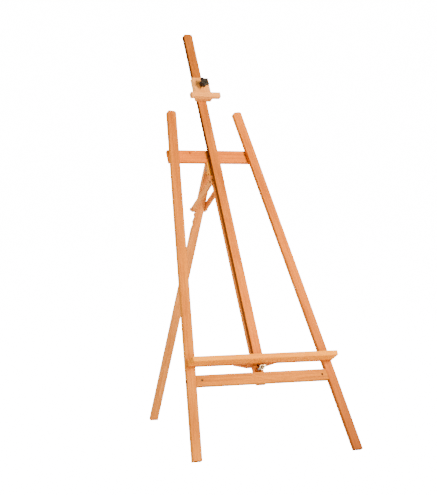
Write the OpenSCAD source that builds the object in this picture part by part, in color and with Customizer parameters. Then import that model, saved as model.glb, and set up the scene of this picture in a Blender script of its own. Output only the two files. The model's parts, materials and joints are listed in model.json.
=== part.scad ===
// Wooden lyre easel: two splayed front legs on two crossbars, a mast that slides on a fixed spine and
// carries the canvas tray, a canvas holder clamped on the mast, and a hinged rear leg held by a brace
// in a notched rack.
// Millimetres, +Z up, +Y to the back. The origin is on the floor, in the middle of the footprint.

/* [Easel] */
// Lean of the front frame from the vertical, in degrees
lean = 26.5; // [18:0.5:32]
// Radius of the softened long edges of the laths
edge_r = 2.5; // [0.5:0.5:3]
// Radius of the rounded top corners of the front legs
leg_top_r = 11; // [4:1:16]
// Radius of the rounded top corners of the mast
mast_top_r = 9; // [4:1:16]

/* [Front legs] */
// Width of a front leg
leg_w = 40; // [34:1:50]
// Thickness of a front leg, and of the crossbar between the legs
leg_t = 20; // [18:1:26]
// Height of the front legs, measured along the lean
leg_h = 1532.5; // [1450:0.5:1900]
// Distance from the middle to a leg's centre line, at the floor
foot_half = 355.3; // [290:0.1:430]
// Distance from the middle to a leg's centre line, at the top
top_half = 152; // [120:1:200]

/* [Crossbars] */
// Height of the upper crossbar
upper_bar_h = 55; // [50:1:70]
// Thickness of the upper crossbar, and of the spine below it
upper_bar_t = 20; // [18:1:26]
// Position of the upper crossbar's lower edge, along the lean
upper_bar_v = 1301.5; // [1150:0.5:1360]
// How far the upper crossbar runs past the legs
upper_bar_over = 1; // [0:1:30]
// Height of the lower crossbar
lower_bar_h = 46; // [36:1:60]
// Position of the lower crossbar's lower edge, along the lean
lower_bar_v = 308.5; // [250:0.5:380]

/* [Spine and mast] */
// Width of the mast and the spine
mast_w = 41; // [34:1:50]
// Position of the mast's top, along the lean
mast_top_v = 1911; // [1880:1:2300]
// Sliding gap between wooden faces
slide_gap = 0.3; // [0.3:0.05:0.6]
// How far the mast and its tray can be raised
mast_travel = 600; // [200:10:640]

/* [Canvas tray] */
// Length of the tray
tray_l = 642; // [530:2:780]
// Depth of the ledge board
ledge_d = 52.7; // [43:0.1:70]
// Thickness of the ledge board
ledge_t = 21; // [16:1:26]
// Thickness of the back board
back_board_t = 15; // [12:1:20]
// Height of the back board
back_board_h = 32; // [32:1:50]
// Space between the lower crossbar and the tray, where the wing nut turns
tray_gap = 31.5; // [31:0.5:60]
// Length of the batten behind the spine
batten_l = 184; // [150:2:220]
// Thickness of the batten behind the spine
batten_t = 16; // [12:1:20]

/* [Canvas holder] */
// Width of the holder block
holder_w = 72; // [72:1:90]
// Height of the holder block
holder_h = 103; // [95:1:130]
// Thickness of the holder block
holder_t = 24; // [20:1:30]
// Position of the holder's lower edge, along the lean
holder_v = 1578.5; // [1578.5:0.5:1650]
// Length of the holder's lip
lip_l = 134; // [100:2:180]
// Height and depth of the holder's lip
lip_h = 22; // [16:1:28]
// Diameter of the star knob
knob_d = 45; // [38:1:54]

/* [Rear leg] */
// Angle of the open rear leg from the vertical, in degrees
rear_lean = 26.95; // [22:0.05:32]
// Width of the rear leg
rear_w = 38; // [31:1:40]
// Thickness of the rear leg
rear_t = 18; // [15:0.5:22]
// Depth of the rack's notches, at the seat
notch_depth = 9.3; // [7:0.1:10]
// Spacing of the rack's notches
notch_pitch = 34; // [32:1:42]
// Number of notches in the rack
notch_n = 3; // [1:1:4]

/* [Brace] */
// Width of a brace arm
arm_w = 24; // [20:1:30]
// Thickness of a brace arm
arm_t = 10; // [8:1:12]
// Distance from the hinge pin down the rear leg to the notch in use
brace_s = 226; // [210:2:250]
// Distance from the upper crossbar down to the brace's pivot
brace_drop = 88.5; // [84:0.5:100]
// Diameter of the brace's cross rod
rod_d = 14; // [12:0.5:16]
// Length of the brace's cross rod
rod_l = 79; // [70:1:100]

/* [Fasteners] */
// Diameter of the wood screws
screw_d = 4; // [3:0.5:5]
// Diameter of the clamp bolt and of the knob's stud
stud_d = 8; // [6:0.5:10]
// Diameter of the brace's pivot
pivot_d = 5; // [4:0.5:6]
// Radial clearance of a turning fit
run_fit = 0.05; // [0.02:0.01:0.1]

/* [Hidden] */
$fn = 64;
eps = 0.01;
room = 400;

// Front legs
splay = atan((foot_half - top_half) / leg_h);
leg_l = leg_h / cos(splay);
leg_half = leg_w / 2 / cos(splay);
foot_v = leg_t * tan(lean);

// Crossbars
lower_top_v = lower_bar_v + lower_bar_h;
lower_mid_v = lower_bar_v + lower_bar_h / 2;
upper_top_v = upper_bar_v + upper_bar_h;
upper_mid_v = upper_bar_v + upper_bar_h / 2;
upper_bar_l = 2 * (leg_axis(upper_mid_v) + leg_half + upper_bar_over);
upper_screw_dv = 14;
frame_back = leg_t + upper_bar_t;
frame_screw_l = frame_back - 5;

// Knock-down joint of the lower crossbar
joint_d = 6;
joint_head_d = 13;
joint_head_h = 3.5;
joint_seat = 2;
barrel_d = 10;
barrel_l = 12;
barrel_n = leg_t / 2 - barrel_l / 2 - 1;
barrel_u = leg_axis(lower_mid_v) - leg_half - 24;
joint_seat_u = leg_axis(lower_mid_v) + leg_half - joint_seat;
joint_tip_u = barrel_u - barrel_d / 2 - 2;

// Spine
spine_v = lower_bar_v + 3.5;
spine_screw_u = 11;
dowel_d = 8;
dowel_l = 40;
dowel_u = 12;

// Mast
mast_back = leg_t - slide_gap;
mast_t = leg_t;
mast_front = mast_back - mast_t;

// Tray
tray_v = lower_top_v + tray_gap;
mast_v = tray_v + 14;
board_front = mast_front - back_board_t;
ledge_front = board_front - ledge_d;
ledge_screw_l = 40;
ledge_screw_u = [0.14 * tray_l, 0.405 * tray_l];
mast_screw_l = 26;
mast_screw_u = 13;
mast_screw_v = (mast_v + tray_v + back_board_h) / 2;
mast_screw_sink = 2;

// Clamp
clamp_v = tray_v - 16.5;
slot_w = stud_d + 2 * slide_gap;
clamp_head_d = 18;
clamp_head_h = 4;
sleeve_d = 22;
sleeve_front = -10;
wing_back = sleeve_front - 0.5;
wing_hub_h = 10;
wing_hub_d = 15;
wing_r = 16;
wing_t = 3.5;
wing_h = 20;
wing_turn = 30;
clamp_tip = wing_back - wing_h - 2;

// Batten and spacers behind and beside the spine
side_gap = 0.5;
spacer_w = 22;
spacer_v = tray_v + 6;
spacer_u = mast_w / 2 + side_gap;
batten_front = frame_back + slide_gap;
batten_back = batten_front + batten_t;
batten_top = tray_v + 39;
batten_end_v = tray_v + 19;
batten_flat = 36;
lug_half = 13;
lug_v = clamp_v - 11.5;
batten_screw_u = spacer_u + spacer_w / 2;
batten_screw_v = spacer_v + 13;
batten_screw_l = batten_back - board_front - 5;

// Keeper screw in the upper crossbar, and the groove in the mast that it runs in
keeper_v = upper_top_v - 18;
keeper_d = 5;
keeper_head_d = 12;
keeper_head_h = 3.5;
keeper_l = 20;
keeper_play = 0.4;
groove_neck = 5.7;
groove_top = keeper_v + keeper_head_d / 2 + keeper_play;
keeper_seat = mast_back - groove_neck - keeper_play;

// Canvas holder
holder_back = mast_front - slide_gap;
holder_front = holder_back - holder_t;
lip_front = holder_front - lip_h;
lip_screw_u = 22;
lip_screw_l = holder_t + 14;
knob_v = holder_v + 66;
strap_t = 2;
strap_h = 30;
strap_in = mast_w / 2 + slide_gap;
strap_rear = mast_back + slide_gap;
strap_flange = holder_w / 2 - 1;
strap_screw_u = (strap_in + strap_t + strap_flange) / 2;
strap_screw_l = 16;
insert_d = stud_d + 5;
insert_l = 14;
insert_flange_d = insert_d + 6;
insert_flange_h = 1.5;
hub_d = 19;
hub_h = 16;
star_h = 18;
hub_back = holder_front - insert_flange_h - 1;
star_back = hub_back - hub_h;
lobe_n = 5;
lobe_turn = 45;
lobe_r = 0.17 * knob_d;
dome_r = 5;

// Hinge
leaf_t = 2;
leaf_w = 34;
leaf_l = 38;
knuckle_r = 4;
knuckle_l = 12;
knuckle_gap = 0.3;
hinge_pin_d = 4;
leaf_top = knuckle_r + 0.5;
leaf_screw_l = 15;
leaf_screws = [[0, 14], [-9, 28], [9, 28]];
pin_v = upper_bar_v + 6.2;
pin_n = frame_back + 5;
pin_y = pin_v * sin(lean) + pin_n * cos(lean);
pin_z = pin_v * cos(lean) - pin_n * sin(lean);

// Rear leg, measured from the hinge pin
rear_front = 3;
rear_back = rear_front + rear_t;
rear_l = (pin_z + rear_front * sin(rear_lean)) / cos(rear_lean);

// Brace, measured from its pivot
pivot_v = upper_bar_v - brace_drop;
pivot_n = leg_t + upper_bar_t / 2;
pivot_y = pivot_v * sin(lean) + pivot_n * cos(lean);
pivot_z = pivot_v * cos(lean) - pivot_n * sin(lean);
seat_r = rod_d / 2 + slide_gap;
rod_y = rear_back - notch_depth + seat_r;
rod_back = pin_y + brace_s * sin(rear_lean) + rod_y * cos(rear_lean) - pivot_y;
rod_down = pivot_z - pin_z + brace_s * cos(rear_lean) - rod_y * sin(rear_lean);
brace_l = sqrt(pow(rod_back, 2) + pow(rod_down, 2));
brace_fall = atan2(rod_down, rod_back);
arm_u = mast_w / 2 + side_gap;
pivot_head_d = pivot_d + 4;
pivot_head_h = 2;

// Corner blocks between the spine and the upper crossbar
block_t = 11.5;
block_n = 19.4;
block_drop = 62.5;
block_screw_v = upper_bar_v - 55.5;
block_screw_n = leg_t + 6;
block_screw_l = 26;

// Middle of the footprint
front_y = foot_v * sin(lean);
rear_y = pin_y + rear_l * sin(rear_lean) + rear_back * cos(rear_lean);
mid_y = (front_y + rear_y) / 2;

beech = [0.87, 0.63, 0.43];
pale_beech = [0.93, 0.75, 0.56];
steel = [0.72, 0.72, 0.70];
brass = [0.80, 0.66, 0.38];
black = [0.12, 0.11, 0.11];

// Distance from the middle to a front leg's centre line, at a height along the lean
function leg_axis(v) = foot_half - (foot_half - top_half) * v / leg_h;

// Distance from the middle to a front leg's inner edge, at a height along the lean
function leg_inside(v) = leg_axis(v) - leg_half;

// ---- Frames of reference ----

// The leaning frame: X across, Y back from the legs' front faces, Z up the lean
module leaning() {
    translate([0, -mid_y, 0])
        rotate([-lean, 0, 0])
            children();
}

// The rear leg's frame: the hinge pin at the origin, -Z down the leg, +Y behind it
module along_rear_leg() {
    translate([0, pin_y - mid_y, pin_z])
        rotate([rear_lean, 0, 0])
            children();
}

// The brace's frame: the pivot at the origin, +Y along the arms
module along_brace() {
    translate([0, pivot_y - mid_y, pivot_z])
        rotate([-brace_fall, 0, 0])
            children();
}

// A copy on each side of the middle
module both_sides() {
    for (side = [0, 1])
        mirror([side, 0, 0])
            children();
}

// ---- Shared shapes ----

// A rectangle with softened corners, from the origin
module soft_rect(w, h, r = edge_r) {
    translate([r, 0])
        square([w - 2 * r, h]);
    translate([0, r])
        square([w, h - 2 * r]);
    for (x = [r, w - r], y = [r, h - r])
        translate([x, y])
            circle(r);
}

// A lath standing along Z, centred on X, from Y = 0 backwards
module standing_lath(w, t, l) {
    linear_extrude(l)
        translate([-w / 2, 0])
            soft_rect(w, t);
}

// A lath lying along X, centred on X, from Y = 0 backwards and Z = 0 upwards
module lying_lath(l, t, h, r = edge_r) {
    translate([-l / 2, 0, 0])
        rotate([90, 0, 90])
            linear_extrude(l)
                soft_rect(t, h, r);
}

// A flat shape drawn in the XZ plane, from Y = y0 back to Y = y1
module facing(y0, y1) {
    translate([0, y1, 0])
        rotate([90, 0, 0])
            linear_extrude(y1 - y0)
                children();
}

// What is taken off to round both corners at the end (Z = 0) of a lath
module rounded_end_cut(w, t, r) {
    both_sides()
        facing(-1, t + 1)
            difference() {
                translate([w / 2 - r, -r])
                    square(r + 1);
                translate([w / 2 - r, -r])
                    circle(r);
            }
}

// A countersunk wood screw: the head's face at the origin, the shank along -Z
module wood_screw(l) {
    head_h = screw_d / 2;
    translate([0, 0, -head_h])
        cylinder(h = head_h, d1 = screw_d, d2 = 2 * screw_d);
    translate([0, 0, screw_d - l])
        cylinder(h = l - head_h - screw_d, d = screw_d);
    translate([0, 0, -l])
        cylinder(h = screw_d, d1 = screw_d * 0.2, d2 = screw_d);
}

// A wood screw driven forwards, along -Y, its head's face at the origin
module forward_screw(l) {
    rotate([-90, 0, 0])
        wood_screw(l);
}

// A round rod along X, centred
module rod_x(l, d) {
    rotate([0, 90, 0])
        cylinder(h = l, d = d, center = true);
}

// A round rod along Y, from y0 to y1
module rod_y(y0, y1, d) {
    translate([0, y1, 0])
        rotate([90, 0, 0])
            cylinder(h = y1 - y0, d = d);
}

// ---- Front frame ----

// The joint bolt on the right: a round head seated in the leg's outer edge, the shank running inwards
module joint_bolt(head_l) {
    translate([0, leg_t / 2, lower_mid_v])
        rotate([0, 90, 0]) {
            translate([0, 0, joint_seat_u])
                cylinder(h = head_l, d = joint_head_d);
            translate([0, 0, joint_tip_u])
                cylinder(h = joint_seat_u - joint_tip_u + eps, d = joint_d);
        }
}

module frame_screws_upper() {
    both_sides()
        for (dv = [-upper_screw_dv, upper_screw_dv])
            translate([leg_axis(upper_mid_v + dv), frame_back, upper_mid_v + dv])
                forward_screw(frame_screw_l);
}

module frame_screws_spine() {
    both_sides()
        translate([spine_screw_u, frame_back, lower_mid_v + 2])
            forward_screw(frame_screw_l);
}

module frame_dowels() {
    both_sides()
        translate([dowel_u, pivot_n, upper_bar_v - dowel_l / 2])
            cylinder(h = dowel_l, d = dowel_d);
}

module block_screws() {
    both_sides()
        translate([mast_w / 2 + block_t, block_screw_n, block_screw_v])
            rotate([0, 90, 0])
                wood_screw(block_screw_l);
}

module keeper_screw() {
    translate([0, 0, keeper_v]) {
        rod_y(keeper_seat - keeper_head_h, keeper_seat, keeper_head_d);
        rod_y(keeper_seat - eps, keeper_seat + keeper_l, keeper_d);
    }
}

module fixed_leaf_screw_set() {
    for (p = leaf_screws)
        translate([p[0], frame_back + leaf_t, pin_v + p[1]])
            forward_screw(leaf_screw_l);
}

module right_front_leg() {
    color(beech)
        leaning()
            difference() {
                translate([foot_half, 0, 0])
                    rotate([0, -splay, 0])
                        difference() {
                            translate([0, 0, -leg_w])
                                standing_lath(leg_w, leg_t, leg_l + leg_w);
                            translate([0, 0, leg_l])
                                rounded_end_cut(leg_w, leg_t, leg_top_r);
                        }
                translate([0, -1, foot_v - room])
                    cube([2 * room, leg_t + 2, room]);
                joint_bolt(room);
                frame_screws_upper();
            }
}

module left_leg() {
    mirror([1, 0, 0])
        right_front_leg();
}

module right_leg() {
    right_front_leg();
}

module upper_crossbar() {
    color(beech)
        leaning()
            difference() {
                translate([0, leg_t, upper_bar_v])
                    lying_lath(upper_bar_l, upper_bar_t, upper_bar_h);
                frame_screws_upper();
                frame_dowels();
                keeper_screw();
                fixed_leaf_screw_set();
            }
}

module lower_crossbar() {
    color(beech)
        leaning()
            difference() {
                intersection() {
                    translate([0, 0, lower_bar_v])
                        lying_lath(2 * foot_half, leg_t, lower_bar_h);
                    facing(-1, leg_t + 1)
                        polygon([
                            [-leg_inside(lower_bar_v), lower_bar_v], [leg_inside(lower_bar_v), lower_bar_v],
                            [leg_inside(lower_top_v), lower_top_v], [-leg_inside(lower_top_v), lower_top_v]
                        ]);
                }
                both_sides() {
                    joint_bolt(joint_head_h);
                    translate([barrel_u, 0, lower_mid_v])
                        rod_y(-1, barrel_n + barrel_l, barrel_d);
                }
                frame_screws_spine();
            }
}

module spine() {
    color(beech)
        leaning()
            difference() {
                translate([0, leg_t, spine_v])
                    standing_lath(mast_w, upper_bar_t, upper_bar_v - spine_v);
                facing(leg_t - 1, frame_back + 1) {
                    translate([-slot_w / 2, clamp_v])
                        square([slot_w, mast_travel]);
                    for (v = [clamp_v, clamp_v + mast_travel])
                        translate([0, v])
                            circle(d = slot_w);
                }
                translate([0, pivot_n, pivot_v])
                    rod_x(mast_w + 2, pivot_d);
                frame_dowels();
                frame_screws_spine();
                block_screws();
            }
}

module corner_block() {
    color(beech)
        leaning()
            difference() {
                translate([mast_w / 2, leg_t, upper_bar_v])
                    rotate([90, 0, 90])
                        linear_extrude(block_t)
                            polygon([[0, -block_drop], [block_n, 10 - block_drop], [2.5, 0], [0, 0]]);
                block_screws();
            }
}

module left_corner_block() {
    mirror([1, 0, 0])
        corner_block();
}

module right_corner_block() {
    corner_block();
}

module corner_block_screws() {
    color(steel)
        leaning()
            block_screws();
}

module upper_crossbar_screws() {
    color(steel)
        leaning()
            frame_screws_upper();
}

module crossbar_bolts() {
    color(steel)
        leaning()
            both_sides()
                joint_bolt(joint_head_h);
}

module barrel_nuts() {
    color(steel)
        leaning()
            both_sides()
                difference() {
                    translate([barrel_u, 0, lower_mid_v])
                        rod_y(barrel_n, barrel_n + barrel_l, barrel_d);
                    joint_bolt(joint_head_h);
                }
}

module spine_dowels() {
    color(pale_beech)
        leaning()
            frame_dowels();
}

module spine_screws() {
    color(steel)
        leaning()
            frame_screws_spine();
}

module mast_keeper_screw() {
    color(steel)
        leaning()
            keeper_screw();
}

module brace_pivot() {
    head_u = arm_u + arm_t;
    color(steel)
        leaning()
            translate([0, pivot_n, pivot_v]) {
                rod_x(2 * head_u - 2 * pivot_head_h + eps, pivot_d);
                both_sides()
                    translate([head_u - pivot_head_h, 0, 0])
                        rotate([0, 90, 0])
                            cylinder(h = pivot_head_h, d = pivot_head_d);
            }
}

// ---- Hinge ----

// The leaf's plate and its tab to the knuckles, standing up from the pin, its back at Y = y1
module leaf_plate(y1, tab_u, tab_w) {
    translate([-leaf_w / 2, y1 - leaf_t, leaf_top])
        cube([leaf_w, leaf_t, leaf_l - leaf_top]);
    for (u = tab_u)
        translate([u - tab_w / 2, y1 - leaf_t, 0])
            cube([tab_w, leaf_t, leaf_top + eps]);
    for (u = tab_u)
        translate([u, 0, 0])
            rod_x(tab_w, 2 * knuckle_r);
}

module hinge_fixed_leaf() {
    outer_w = (leaf_w - knuckle_l) / 2;
    outer_u = (leaf_w - outer_w) / 2;
    color(steel)
        leaning()
            difference() {
                translate([0, pin_n, pin_v])
                    difference() {
                        leaf_plate(frame_back + leaf_t - pin_n, [-outer_u, outer_u], outer_w);
                        rod_x(leaf_w + 2, hinge_pin_d);
                    }
                fixed_leaf_screw_set();
            }
}

module fixed_leaf_screws() {
    color(steel)
        leaning()
            fixed_leaf_screw_set();
}

module hinge_pin() {
    color(steel)
        leaning()
            translate([0, pin_n, pin_v])
                rod_x(leaf_w, hinge_pin_d);
}

module moving_leaf_screw_set() {
    for (p = leaf_screws)
        translate([p[0], rear_front - leaf_t, -p[1]])
            rotate([90, 0, 0])
                wood_screw(leaf_screw_l);
}

module hinge_moving_leaf() {
    color(steel)
        along_rear_leg()
            difference() {
                mirror([0, 0, 1])
                    leaf_plate(rear_front, [0], knuckle_l - 2 * knuckle_gap);
                rod_x(leaf_w, hinge_pin_d + 2 * run_fit);
                moving_leaf_screw_set();
            }
}

module moving_leaf_screws() {
    color(steel)
        along_rear_leg()
            moving_leaf_screw_set();
}

// ---- Mast and tray ----

module mast_screw_set(sink) {
    both_sides()
        translate([mast_screw_u, mast_back - mast_screw_sink, mast_screw_v]) {
            forward_screw(mast_screw_l);
            if (sink > 0)
                rod_y(-eps, sink, 2 * screw_d);
        }
}

module ledge_screw_set() {
    both_sides()
        for (u = ledge_screw_u)
            translate([u, mast_front, tray_v + ledge_t / 2])
                forward_screw(ledge_screw_l);
}

module batten_screw_set() {
    both_sides()
        translate([batten_screw_u, batten_back, batten_screw_v])
            forward_screw(batten_screw_l);
}

module mast() {
    head_room = keeper_head_h + 2 * keeper_play;
    head_w = keeper_head_d + 2 * keeper_play;
    neck_w = keeper_d + 2 * keeper_play;
    color(beech)
        leaning()
            difference() {
                translate([0, mast_front, 0])
                    difference() {
                        translate([0, 0, mast_v])
                            standing_lath(mast_w, mast_t, mast_top_v - mast_v);
                        translate([0, 0, mast_top_v])
                            rounded_end_cut(mast_w, mast_t, mast_top_r);
                    }
                translate([-neck_w / 2, mast_back - groove_neck - eps, mast_v - 1])
                    cube([neck_w, groove_neck + 1, groove_top - mast_v + 1]);
                translate([-head_w / 2, mast_back - groove_neck - head_room, mast_v - 1])
                    cube([head_w, head_room, groove_top - mast_v + 1]);
                mast_screw_set(mast_screw_sink + 1);
            }
}

module tray_back_board() {
    color(beech)
        leaning()
            difference() {
                translate([0, board_front, tray_v])
                    lying_lath(tray_l, back_board_t, back_board_h);
                mast_screw_set(0);
                ledge_screw_set();
                batten_screw_set();
            }
}

module tray_ledge() {
    color(pale_beech)
        leaning()
            difference() {
                translate([0, ledge_front, tray_v])
                    lying_lath(tray_l, ledge_d, ledge_t);
                ledge_screw_set();
            }
}

module spacer() {
    color(beech)
        leaning()
            difference() {
                translate([spacer_u, mast_front, spacer_v])
                    cube([spacer_w, batten_front - mast_front, tray_v + back_board_h - spacer_v]);
                batten_screw_set();
            }
}

module left_spacer() {
    mirror([1, 0, 0])
        spacer();
}

module right_spacer() {
    spacer();
}

module spine_batten() {
    half = batten_l / 2;
    color(beech)
        leaning()
            difference() {
                facing(batten_front, batten_back)
                    polygon([
                        [-half, batten_top], [-half, batten_end_v], [-batten_flat, spacer_v],
                        [-lug_half, spacer_v], [-lug_half, lug_v], [lug_half, lug_v], [lug_half, spacer_v],
                        [batten_flat, spacer_v], [half, batten_end_v], [half, batten_top]
                    ]);
                translate([0, 0, clamp_v])
                    rod_y(batten_front - 1, batten_back + 1, stud_d);
                batten_screw_set();
            }
}

module clamp_bolt() {
    color(steel)
        leaning()
            translate([0, 0, clamp_v]) {
                rod_y(batten_back, batten_back + clamp_head_h, clamp_head_d);
                rod_y(clamp_tip, batten_back + eps, stud_d);
            }
}

module clamp_sleeve() {
    color(steel)
        leaning()
            translate([0, 0, clamp_v])
                difference() {
                    rod_y(sleeve_front, mast_back, sleeve_d);
                    rod_y(sleeve_front - 1, mast_back + 1, stud_d);
                }
}

module ledge_screws() {
    color(steel)
        leaning()
            ledge_screw_set();
}

module mast_screws() {
    color(steel)
        leaning()
            mast_screw_set(0);
}

module batten_screws() {
    color(steel)
        leaning()
            batten_screw_set();
}

// The two wings of the wing nut, drawn across X and forwards from Y = 0
module wing_pair() {
    wing_c = wing_r - 5;
    translate([0, 0, -wing_t / 2])
        linear_extrude(wing_t)
            both_sides() {
                translate([wing_c, 5 - wing_h])
                    circle(5);
                polygon([
                    [0, -1], [wing_hub_d / 2 - 1, -1], [wing_r, 5 - wing_h],
                    [wing_c - 5, 5 - wing_h], [0, -wing_hub_h]
                ]);
            }
}

// A hub with two wings, turning on the clamp bolt
module wing_nut() {
    color(steel)
        leaning()
            translate([0, wing_back, clamp_v])
                difference() {
                    union() {
                        rod_y(-wing_hub_h, 0, wing_hub_d);
                        rotate([0, -wing_turn, 0])
                            wing_pair();
                    }
                    rod_y(-wing_h - 1, 1, stud_d + 2 * run_fit);
                }
}

// ---- Canvas holder ----

module lip_screw_set() {
    both_sides()
        translate([lip_screw_u, holder_back, holder_v + lip_h / 2])
            forward_screw(lip_screw_l);
}

module strap_screw_set() {
    both_sides()
        translate([strap_screw_u, holder_back + strap_t, knob_v])
            forward_screw(strap_screw_l);
}

module holder_block() {
    color(pale_beech)
        leaning()
            difference() {
                translate([-holder_w / 2, holder_front, holder_v])
                    rotate([90, 0, 90])
                        linear_extrude(holder_w)
                            soft_rect(holder_t, holder_h, 1);
                translate([0, 0, knob_v]) {
                    rod_y(holder_front - 1, holder_front + insert_l, insert_d);
                    rod_y(holder_front, holder_back + 1, stud_d + 2 * slide_gap);
                }
                lip_screw_set();
                strap_screw_set();
            }
}

module holder_lip() {
    color(pale_beech)
        leaning()
            difference() {
                translate([0, lip_front, holder_v])
                    lying_lath(lip_l, lip_h, lip_h, 1);
                lip_screw_set();
            }
}

module lip_screws() {
    color(steel)
        leaning()
            lip_screw_set();
}

module holder_strap() {
    color(steel)
        leaning()
            difference() {
                translate([0, 0, knob_v - strap_h / 2])
                    linear_extrude(strap_h)
                        both_sides() {
                            translate([strap_in, holder_back])
                                square([strap_flange - strap_in, strap_t]);
                            translate([strap_in, holder_back])
                                square([strap_t, strap_rear + strap_t - holder_back]);
                            translate([0, strap_rear])
                                square([strap_in + strap_t, strap_t]);
                        }
                strap_screw_set();
            }
}

module strap_screws() {
    color(steel)
        leaning()
            strap_screw_set();
}

module knob_insert() {
    color(brass)
        leaning()
            translate([0, holder_front, knob_v])
                difference() {
                    union() {
                        rod_y(-insert_flange_h, insert_l, insert_d);
                        rod_y(-insert_flange_h, 0, insert_flange_d);
                    }
                    rod_y(-insert_flange_h - 1, insert_l + 1, stud_d + 2 * run_fit);
                }
}

module star_knob() {
    star_r = knob_d / 2;
    star_flat = star_r - dome_r;
    color(black)
        leaning()
            translate([0, hub_back, knob_v])
                rotate([90, 0, 0])
                    difference() {
                        union() {
                            cylinder(h = hub_h + 1, d = hub_d);
                            intersection() {
                                translate([0, 0, hub_h])
                                    linear_extrude(star_h) {
                                        circle(r = star_r - lobe_r);
                                        for (i = [0 : lobe_n - 1])
                                            rotate(lobe_turn + i * 360 / lobe_n)
                                                translate([star_r - lobe_r, 0])
                                                    circle(r = lobe_r);
                                    }
                                translate([0, 0, hub_h])
                                    rotate_extrude() {
                                        square([star_flat, star_h]);
                                        square([star_r, star_h - dome_r]);
                                        translate([star_flat, star_h - dome_r])
                                            circle(dome_r);
                                    }
                            }
                        }
                        translate([0, 0, -1])
                            cylinder(h = hub_h + 1, d = stud_d);
                    }
}

module knob_stud() {
    color(steel)
        leaning()
            translate([0, 0, knob_v])
                rod_y(star_back, holder_back, stud_d);
}

// ---- Rear leg ----

// One notch of the rack: a round seat with a ramp below it, drawn with X behind the leg and Y up it
module notch() {
    circle(r = seat_r);
    scale(seat_r)
        polygon([
            [-1, 0], [-0.97, -0.38], [-0.34, -2.19], [0.33, -3.56], [0.6, -4], [1.6, -4], [1.6, 0]
        ]);
}

module rear_leg() {
    color(beech)
        along_rear_leg()
            difference() {
                translate([0, rear_front, -rear_l])
                    standing_lath(rear_w, rear_t, rear_l - leaf_top);
                for (i = [0 : notch_n - 1])
                    translate([0, rod_y, -brace_s - i * notch_pitch])
                        rotate([90, 0, 90])
                            linear_extrude(rear_w + 2, center = true)
                                notch();
                moving_leaf_screw_set();
            }
}

// ---- Brace ----

module brace_arm() {
    color(beech)
        along_brace()
            difference() {
                translate([arm_u, 0, 0])
                    rotate([90, 0, 90])
                        linear_extrude(arm_t) {
                            translate([0, -arm_w / 2])
                                square([brace_l, arm_w]);
                            for (y = [0, brace_l])
                                translate([y, 0])
                                    circle(d = arm_w);
                        }
                rod_x(4 * arm_u, pivot_d + 2 * run_fit);
                translate([arm_u + arm_t - pivot_head_h - slide_gap, 0, 0])
                    rotate([0, 90, 0])
                        cylinder(h = arm_t, d = pivot_head_d + 2 * slide_gap);
                translate([0, brace_l, 0])
                    rod_x(4 * arm_u, rod_d);
            }
}

module left_brace_arm() {
    mirror([1, 0, 0])
        brace_arm();
}

module right_brace_arm() {
    brace_arm();
}

module brace_rod() {
    color(pale_beech)
        along_brace()
            translate([0, brace_l, 0])
                rod_x(rod_l, rod_d);
}

// ---- What is drawn ----

left_leg();
right_leg();
upper_crossbar();
lower_crossbar();
spine();
left_corner_block();
right_corner_block();
corner_block_screws();
upper_crossbar_screws();
crossbar_bolts();
barrel_nuts();
spine_dowels();
spine_screws();
mast_keeper_screw();
hinge_fixed_leaf();
fixed_leaf_screws();
hinge_pin();
brace_pivot();
mast();
tray_back_board();
tray_ledge();
left_spacer();
right_spacer();
spine_batten();
clamp_bolt();
clamp_sleeve();
ledge_screws();
mast_screws();
batten_screws();
wing_nut();
holder_block();
holder_lip();
lip_screws();
holder_strap();
strap_screws();
knob_insert();
star_knob();
knob_stud();
rear_leg();
hinge_moving_leaf();
moving_leaf_screws();
left_brace_arm();
right_brace_arm();
brace_rod();
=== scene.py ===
import json
import math

import bmesh
import bpy
from mathutils import Matrix, Vector


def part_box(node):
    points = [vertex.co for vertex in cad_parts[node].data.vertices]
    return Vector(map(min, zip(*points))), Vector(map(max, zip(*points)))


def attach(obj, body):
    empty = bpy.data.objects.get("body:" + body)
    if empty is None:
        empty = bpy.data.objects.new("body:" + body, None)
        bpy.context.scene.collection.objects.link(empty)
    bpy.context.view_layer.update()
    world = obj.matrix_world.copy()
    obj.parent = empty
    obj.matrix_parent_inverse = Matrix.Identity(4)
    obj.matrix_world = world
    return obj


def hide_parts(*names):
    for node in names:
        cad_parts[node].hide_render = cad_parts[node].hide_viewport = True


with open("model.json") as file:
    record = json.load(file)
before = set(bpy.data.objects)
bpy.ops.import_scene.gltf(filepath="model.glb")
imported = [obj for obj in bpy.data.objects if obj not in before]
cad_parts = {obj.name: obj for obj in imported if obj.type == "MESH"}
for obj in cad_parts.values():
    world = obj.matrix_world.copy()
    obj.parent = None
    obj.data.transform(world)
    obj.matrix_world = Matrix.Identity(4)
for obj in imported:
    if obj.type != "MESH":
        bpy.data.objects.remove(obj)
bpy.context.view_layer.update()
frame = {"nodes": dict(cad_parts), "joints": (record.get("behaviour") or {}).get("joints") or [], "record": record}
nodes = frame["nodes"]
joints = {j["name"]: j for j in frame["joints"]}

# The leaning frame's three directions, from the joints.
ACROSS = Vector((1, 0, 0))
UP = Vector(joints["mast_slide"]["axis"])
FORWARD = Vector(joints["wing_nut_turn"]["axis"])
BACK = -FORWARD


# ---------------------------------------------------------------- node helpers


def add(tree, kind, inputs=None, **settings):
    """A node with its settings and inputs; an input is a value or another node's output."""
    node = tree.nodes.new(kind)
    for key, value in settings.items():
        setattr(node, key, value)
    for key, value in (inputs or {}).items():
        if isinstance(value, bpy.types.NodeSocket):
            tree.links.new(value, node.inputs[key])
        else:
            node.inputs[key].default_value = value
    return node


def calc(tree, operation, a, b=0.0, clamp=False):
    return add(tree, "ShaderNodeMath", {0: a, 1: b}, operation=operation, use_clamp=clamp).outputs[0]


def dot(tree, a, b):
    return add(tree, "ShaderNodeVectorMath", {0: a, 1: b}, operation="DOT_PRODUCT").outputs["Value"]


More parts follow.
